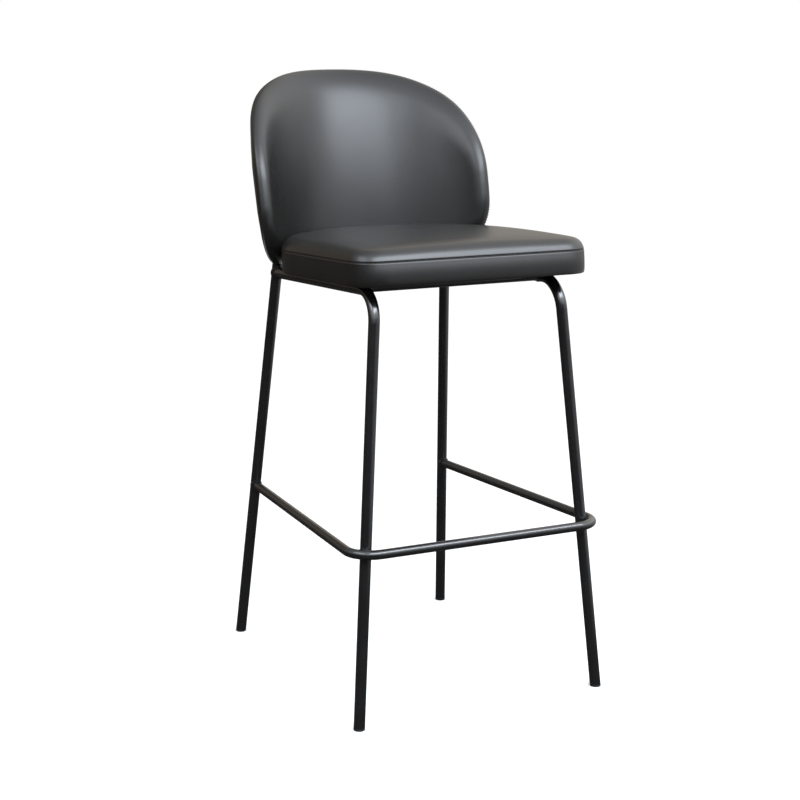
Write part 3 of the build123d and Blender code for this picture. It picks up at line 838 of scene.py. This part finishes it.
unrolled = np.column_stack([BACK_RIM_R * wrap_angle(back_line[:, 0], BACK_RIM_R), back_line[:, 1]])
back_measure = distances(unrolled)
back_half_length = back_measure[-1]
shoulder = back_measure[int(SHOULDER_MARK * FINE_STEPS)]
lower_corner = back_measure[int(LOWER_MARK * FINE_STEPS)]
places, back_sides = ring_places(back_half_length, shoulder, lower_corner, BACK_ACROSS, BACK_ALONG)
back_edge = along_outline(back_measure, back_line, places)
back_outward = along_outline(back_measure, back_out, places)
back_outward /= np.linalg.norm(back_outward, axis=1)[:, None]
print("backrest outline:", round(2 * back_half_length, 3), "m round, lower edge at",
      round(float(corner_end[1]), 4))

# %% Domed inner face
BACK_DOME = 0.015
DOME_MIDDLE = 0.20
DOME_HALF = 0.20
WING_START = math.radians(25.0)
WING_END = math.radians(75.0)
WING_DOME = 0.1


def back_world(angle, rise, radius):
    """Points at angles round the backrest's axis, rises along it and radii, in the stool's frame."""
    local = np.column_stack([radius * np.sin(angle), radius * np.cos(angle), rise])
    return BACK_ORIGIN + local @ back_axes


def back_flat(inset, radius):
    """Signed angle and rise of the outline moved in, on a cylinder of a radius."""
    moved = back_edge - back_outward * np.reshape(inset, (-1, 1))
    return back_sides * wrap_angle(moved[:, 0], radius), moved[:, 1]


def inner_radius(angle, rise):
    """Distance from the axis to the inner face. The padding domes it, least at the wings."""
    upright = np.clip(1 - ((rise - DOME_MIDDLE) / DOME_HALF) ** 2, 0.0, 1.0)
    wing = np.clip((np.abs(angle) - WING_START) / (WING_END - WING_START), 0.0, 1.0)
    return BACK_INNER_R - BACK_DOME * upright * (1 - (1 - WING_DOME) * (3 - 2 * wing) * wing ** 2)


def face_under(inset):
    """Radius of the inner face below the outline moved in."""
    return inner_radius(*back_flat(inset, BACK_INNER_R))


print("backrest's inner face domes by", 1000 * BACK_DOME, "mm")

# %% Rolled rim
SIDE_ROLL = 0.028
TOP_ROLL = 0.062
SIDE_DEPTH = 0.027
TOP_DEPTH = 0.020
BACK_OUTER_ROLL = 0.030
BACK_SEAM_SHARE = 0.76
OUTER_ROLL_SHAPE = 4.0
ROLL_POWER = 1.6
DEPTH_POWER = 4
upness = np.clip(back_outward[:, 1], 0.0, 1.0)
inner_roll_length = SIDE_ROLL + (TOP_ROLL - SIDE_ROLL) * upness
deepest = SIDE_DEPTH + (TOP_DEPTH - SIDE_DEPTH) * upness
rim_angle = back_flat(0.0, BACK_RIM_R)[0]
rim_thickness = outer_radius(rim_angle) - face_under(0.0)
# the smaller of two depths, with a smooth change from one to the other
shared_depth = BACK_SEAM_SHARE * rim_thickness
inner_depth = (shared_depth ** -DEPTH_POWER + deepest ** -DEPTH_POWER) ** (-1 / DEPTH_POWER)
outer_depth = rim_thickness - inner_depth
outer_roll_length = np.minimum(BACK_OUTER_ROLL, OUTER_ROLL_SHAPE * outer_depth)
rim_seam = face_under(0.0) + inner_depth
roll_along, roll_out = swept(np.pi / 2 * share ** ROLL_POWER)


def inner_roll(step):
    """Ring on the way from the inner face, at nought, to the seam, at one. It turns ever faster."""
    inset = inner_roll_length * (1 - np.interp(step, share, roll_along) / roll_along[-1])
    radius = face_under(inset) + inner_depth * np.interp(step, share, roll_out) / roll_out[-1]
    return back_world(*back_flat(inset, radius), radius)


def outer_roll(turn):
    """Ring on the quarter ellipse from the seam, at nought, to the outer face, at ninety degrees."""
    inset = outer_roll_length * (1 - math.cos(math.radians(turn)))
    radius = rim_seam + outer_depth * math.sin(math.radians(turn))
    return back_world(*back_flat(inset, radius), radius)


print("rim:", np.round(1000 * np.array([rim_thickness.min(), rim_thickness.max()]), 1), "mm thick")

# %% Backrest rings
INNER_STEPS = (0.0, 0.14, 0.28, 0.40, 0.51, 0.61, 0.70, 0.78, 0.85, 0.92, 0.97)
OUTER_TURNS = (0, 4, 12, 22, 32, 44, 56, 68, 79, 90)
back_rings = [inner_roll(step) for step in INNER_STEPS]
back_rings += [outer_roll(turn) for turn in OUTER_TURNS]
rim_seam_ring = len(INNER_STEPS)
print("backrest rings:", len(back_rings), "of", len(back_edge), "points")

# %% Backrest pad
BACK_SWELL_CAP = 0.0012
EASE_REACH = 0.045
inner_angle, inner_rise = back_flat(inner_roll_length, face_under(inner_roll_length))
inner_fill = coons(np.column_stack([BACK_INNER_R * inner_angle, inner_rise]), BACK_ACROSS, BACK_ALONG)
inner_fill_angle = inner_fill[:, 0] / BACK_INNER_R
inner_cap = back_world(inner_fill_angle, inner_fill[:, 1], inner_radius(inner_fill_angle, inner_fill[:, 1]))
outer_angle, outer_rise = back_flat(outer_roll_length, outer_radius(rim_angle))
outer_fill = coons(np.column_stack([BACK_RIM_R * outer_angle, outer_rise]), BACK_ACROSS, BACK_ALONG)
outer_fill_angle = outer_fill[:, 0] / BACK_RIM_R
outer_cap = back_world(outer_fill_angle, outer_fill[:, 1], outer_radius(outer_fill_angle))
back_pad = skin("backrest_pad", back_rings, inner_cap, outer_cap, BACK_ACROSS, BACK_ALONG, LEATHER)
pinned_rings = range(rim_seam_ring - PINNED_BESIDE, rim_seam_ring + PINNED_BESIDE + 1)
swell(back_pad, ring_vertices(pinned_rings, len(back_edge)), BACK_SWELL_CAP)
corner_marks = [0, BACK_ACROSS, BACK_ACROSS + BACK_ALONG, 2 * BACK_ACROSS + BACK_ALONG]
ease(back_pad, np.concatenate([back_rings[0][corner_marks], back_rings[-1][corner_marks]]), EASE_REACH)
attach(back_pad, "root")
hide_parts("back_front_cover", "back_rear_cover", "back_foam")
print("backrest pad:", len(back_pad.data.polygons), "quads")

# %% [markdown]
# ## Light behind the backrest
# The outer face leans back, so from behind it mirrors only the dark floor. A broad soft lamp lies on the
# floor behind the stool, face up, and shows its form. Light linking gives it the backrest alone, so that it
# draws no bright lines along the tubes, and the camera doesn't see the lamp itself.

# %% Rear lamp
# place, size across, size up, watts, colour
REAR_LAMP = ((-0.15, 1.08, 0.03), 1.8, 0.75, 8.0, (0.95, 0.97, 1.0))
rear_lamp = add_light("rear_lamp", *REAR_LAMP)
rear_lamp.rotation_euler = (math.pi, 0.0, 0.0)
lit_from_behind = bpy.data.collections.new("lit_from_behind")
lit_from_behind.objects.link(back_pad)
rear_lamp.light_linking.receiver_collection = lit_from_behind
rear_lamp.visible_camera = False
print("rear lamp lights:", back_pad.name)

# %% [markdown]
# ## Cloth under the seat
# A thin black cloth closes the seat from below and is stapled through the turned-in edge of the band. It is
# cut to the seat's plan, a little smaller, and pulled flat, so it is drawn flat, with its own small
# thickness.

# %% Cloth under the seat
CLOTH_MARGIN = 0.018
CLOTH_LOW = 0.0001
CLOTH_HIGH = 0.0006
cloth_plan = seat_edge - seat_outward * CLOTH_MARGIN
cloth_fill = coons(cloth_plan, SEAT_ACROSS, SEAT_ALONG)
cloth_rings = [seat_ring(CLOTH_MARGIN, height) for height in (CLOTH_LOW, CLOTH_HIGH)]
cloth_caps = [seat_world(cloth_fill, height) for height in (CLOTH_LOW, CLOTH_HIGH)]
lining = skin("seat_lining", cloth_rings, *cloth_caps, SEAT_ACROSS, SEAT_ALONG, CLOTH)
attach(lining, "root")
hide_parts("seat_dust_cover")

# %% [markdown]
# ## Stitches and staples
# Stitches repeat by the hundred along a seam, and staples by the dozen along an edge, so a Geometry Nodes
# tree lays them out. It takes a closed line, walks along it in equal steps and sets a small shape on each
# step, turned to the line. The sizes are named inputs. The result is made real and given its material,
# because instances don't travel.

# %% Tree that sets a row along a line
BEAD_SEGMENTS = 6
BEAD_RINGS = 5
STAPLE_DEPTH = 4.0  # in wire thicknesses
STAPLE_BEND_STEPS = 2
WIRE_SIDES = 6


def row_tree(name, shape):
    """Geometry Nodes tree that repeats what shape(tree, length, thickness) draws along a closed line."""
    tree, given, result = new_group(name, "GeometryNodeTree", [
        ("INPUT", "Geometry", "NodeSocketGeometry", None),
        ("INPUT", "Pitch", "NodeSocketFloat", 0.006),
        ("INPUT", "Length", "NodeSocketFloat", 0.004),
        ("INPUT", "Thickness", "NodeSocketFloat", 0.001),
        ("INPUT", "Up", "NodeSocketVector", (0.0, 0.0, 1.0)),
        ("INPUT", "Material", "NodeSocketMaterial", None),
        ("OUTPUT", "Geometry", "NodeSocketGeometry", None),
    ])
    line = add_node(tree, "GeometryNodeMeshToCurve", {"Mesh": given.outputs["Geometry"]})
    steps = add_node(tree, "GeometryNodeResampleCurve", {
        "Curve": line.outputs["Curve"], "Length": given.outputs["Pitch"]}, mode="LENGTH")
    upright = add_node(tree, "FunctionNodeAlignRotationToVector", {"Vector": given.outputs["Up"]}, axis="Z")
    tangent = add_node(tree, "GeometryNodeInputTangent").outputs["Tangent"]
    turned = add_node(tree, "FunctionNodeAlignRotationToVector", {
        "Rotation": upright.outputs["Rotation"], "Vector": tangent}, axis="X", pivot_axis="Z")
    one = shape(tree, given.outputs["Length"], given.outputs["Thickness"])
    row = add_node(tree, "GeometryNodeInstanceOnPoints", {
        "Points": steps.outputs["Curve"], "Instance": one, "Rotation": turned.outputs["Rotation"]})
    real = add_node(tree, "GeometryNodeRealizeInstances", {"Geometry": row.outputs["Instances"]})
    painted = add_node(tree, "GeometryNodeSetMaterial", {
        "Geometry": real.outputs["Geometry"], "Material": given.outputs["Material"]})
    tree.links.new(painted.outputs["Geometry"], result.inputs["Geometry"])
    return tree


def stitch(tree, length, thickness):
    """One pull of thread, a slim rounded bead."""
    bead = add_node(tree, "GeometryNodeMeshUVSphere", {
        "Segments": BEAD_SEGMENTS, "Rings": BEAD_RINGS, "Radius": 0.5})
    size = add_node(tree, "ShaderNodeCombineXYZ", {"X": length, "Y": thickness, "Z": thickness})
    slim = add_node(tree, "GeometryNodeTransform", {
        "Geometry": bead.outputs["Mesh"], "Scale": size.outputs["Vector"]})
    return slim.outputs["Geometry"]


def staple(tree, length, thickness):
    """A flat loop of wire: the lower bar shows, the rest is in the board."""
    def times(value, factor):
        return add_node(tree, "ShaderNodeMath", {0: value, 1: factor}, operation="MULTIPLY").outputs["Value"]

    depth = times(thickness, STAPLE_DEPTH)
    loop = add_node(tree, "GeometryNodeCurvePrimitiveQuadrilateral", {"Width": length, "Height": depth})
    bent = add_node(tree, "GeometryNodeFilletCurve", {
        "Curve": loop.outputs["Curve"], "Radius": thickness, "Count": STAPLE_BEND_STEPS}, mode="POLY")
    wire = add_node(tree, "GeometryNodeCurvePrimitiveCircle", {
        "Resolution": WIRE_SIDES, "Radius": times(thickness, 0.5)})
    bar = add_node(tree, "GeometryNodeCurveToMesh", {
        "Curve": bent.outputs["Curve"], "Profile Curve": wire.outputs["Curve"]})
    lift = add_node(tree, "ShaderNodeCombineXYZ", {"Z": times(depth, 0.5)})
    stood = add_node(tree, "GeometryNodeTransform", {
        "Geometry": bar.outputs["Mesh"], "Rotation": (math.pi / 2, 0.0, 0.0),
        "Translation": lift.outputs["Vector"]})
    return stood.outputs["Geometry"]


STITCH_ROW = row_tree("stitch_row", stitch)
STAPLE_ROW = row_tree("staple_row", staple)
print("trees:", STITCH_ROW.name, STAPLE_ROW.name)

# %% Lay out a row
def lay_row(name, tree, line, slot, **sizes):
    """Plain mesh of the tree's row along a closed line of points."""
    count = len(line)
    mesh = bpy.data.meshes.new(name)
    mesh.from_pydata(line.tolist(), [(i, (i + 1) % count) for i in range(count)], [])
    piece = bpy.data.objects.new(name, mesh)
    scene.collection.objects.link(piece)
    modifier = piece.modifiers.new("row", "NODES")
    modifier.node_group = tree
    for item in tree.interface.items_tree:
        if item.in_out == "INPUT" and item.name in sizes:
            modifier[item.identifier] = sizes[item.name]
    settle(piece)
    piece.data.shade_smooth()
    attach(piece, "root")
    print(name + ":", len(piece.data.polygons), "faces")


STITCH_PROUD = 0.0004
STAPLE_INSET = 0.006
SEAT_UP = tuple(float(c) for c in seat_axes[2])
seat_stitch_line = seat_ring(seam_inset + SEAM_DEPTH - STITCH_PROUD, SEAT_SEAM)
staple_line = seat_ring(CLOTH_MARGIN + STAPLE_INSET, 0.0)
lay_row("seat_stitches", STITCH_ROW, seat_stitch_line, "cover_black_leather",
        Pitch=0.0055, Length=0.0042, Thickness=0.0010, Up=SEAT_UP, Material=THREAD)
lay_row("backrest_stitches", STITCH_ROW, back_rings[rim_seam_ring], "cover_black_leather",
        Pitch=0.0050, Length=0.0038, Thickness=0.0008, Up=SEAT_UP, Material=THREAD)
lay_row("lining_staples", STAPLE_ROW, staple_line, "fastener_zinc",
        Pitch=0.045, Length=0.010, Thickness=0.0008, Up=SEAT_UP, Material=ZINC)
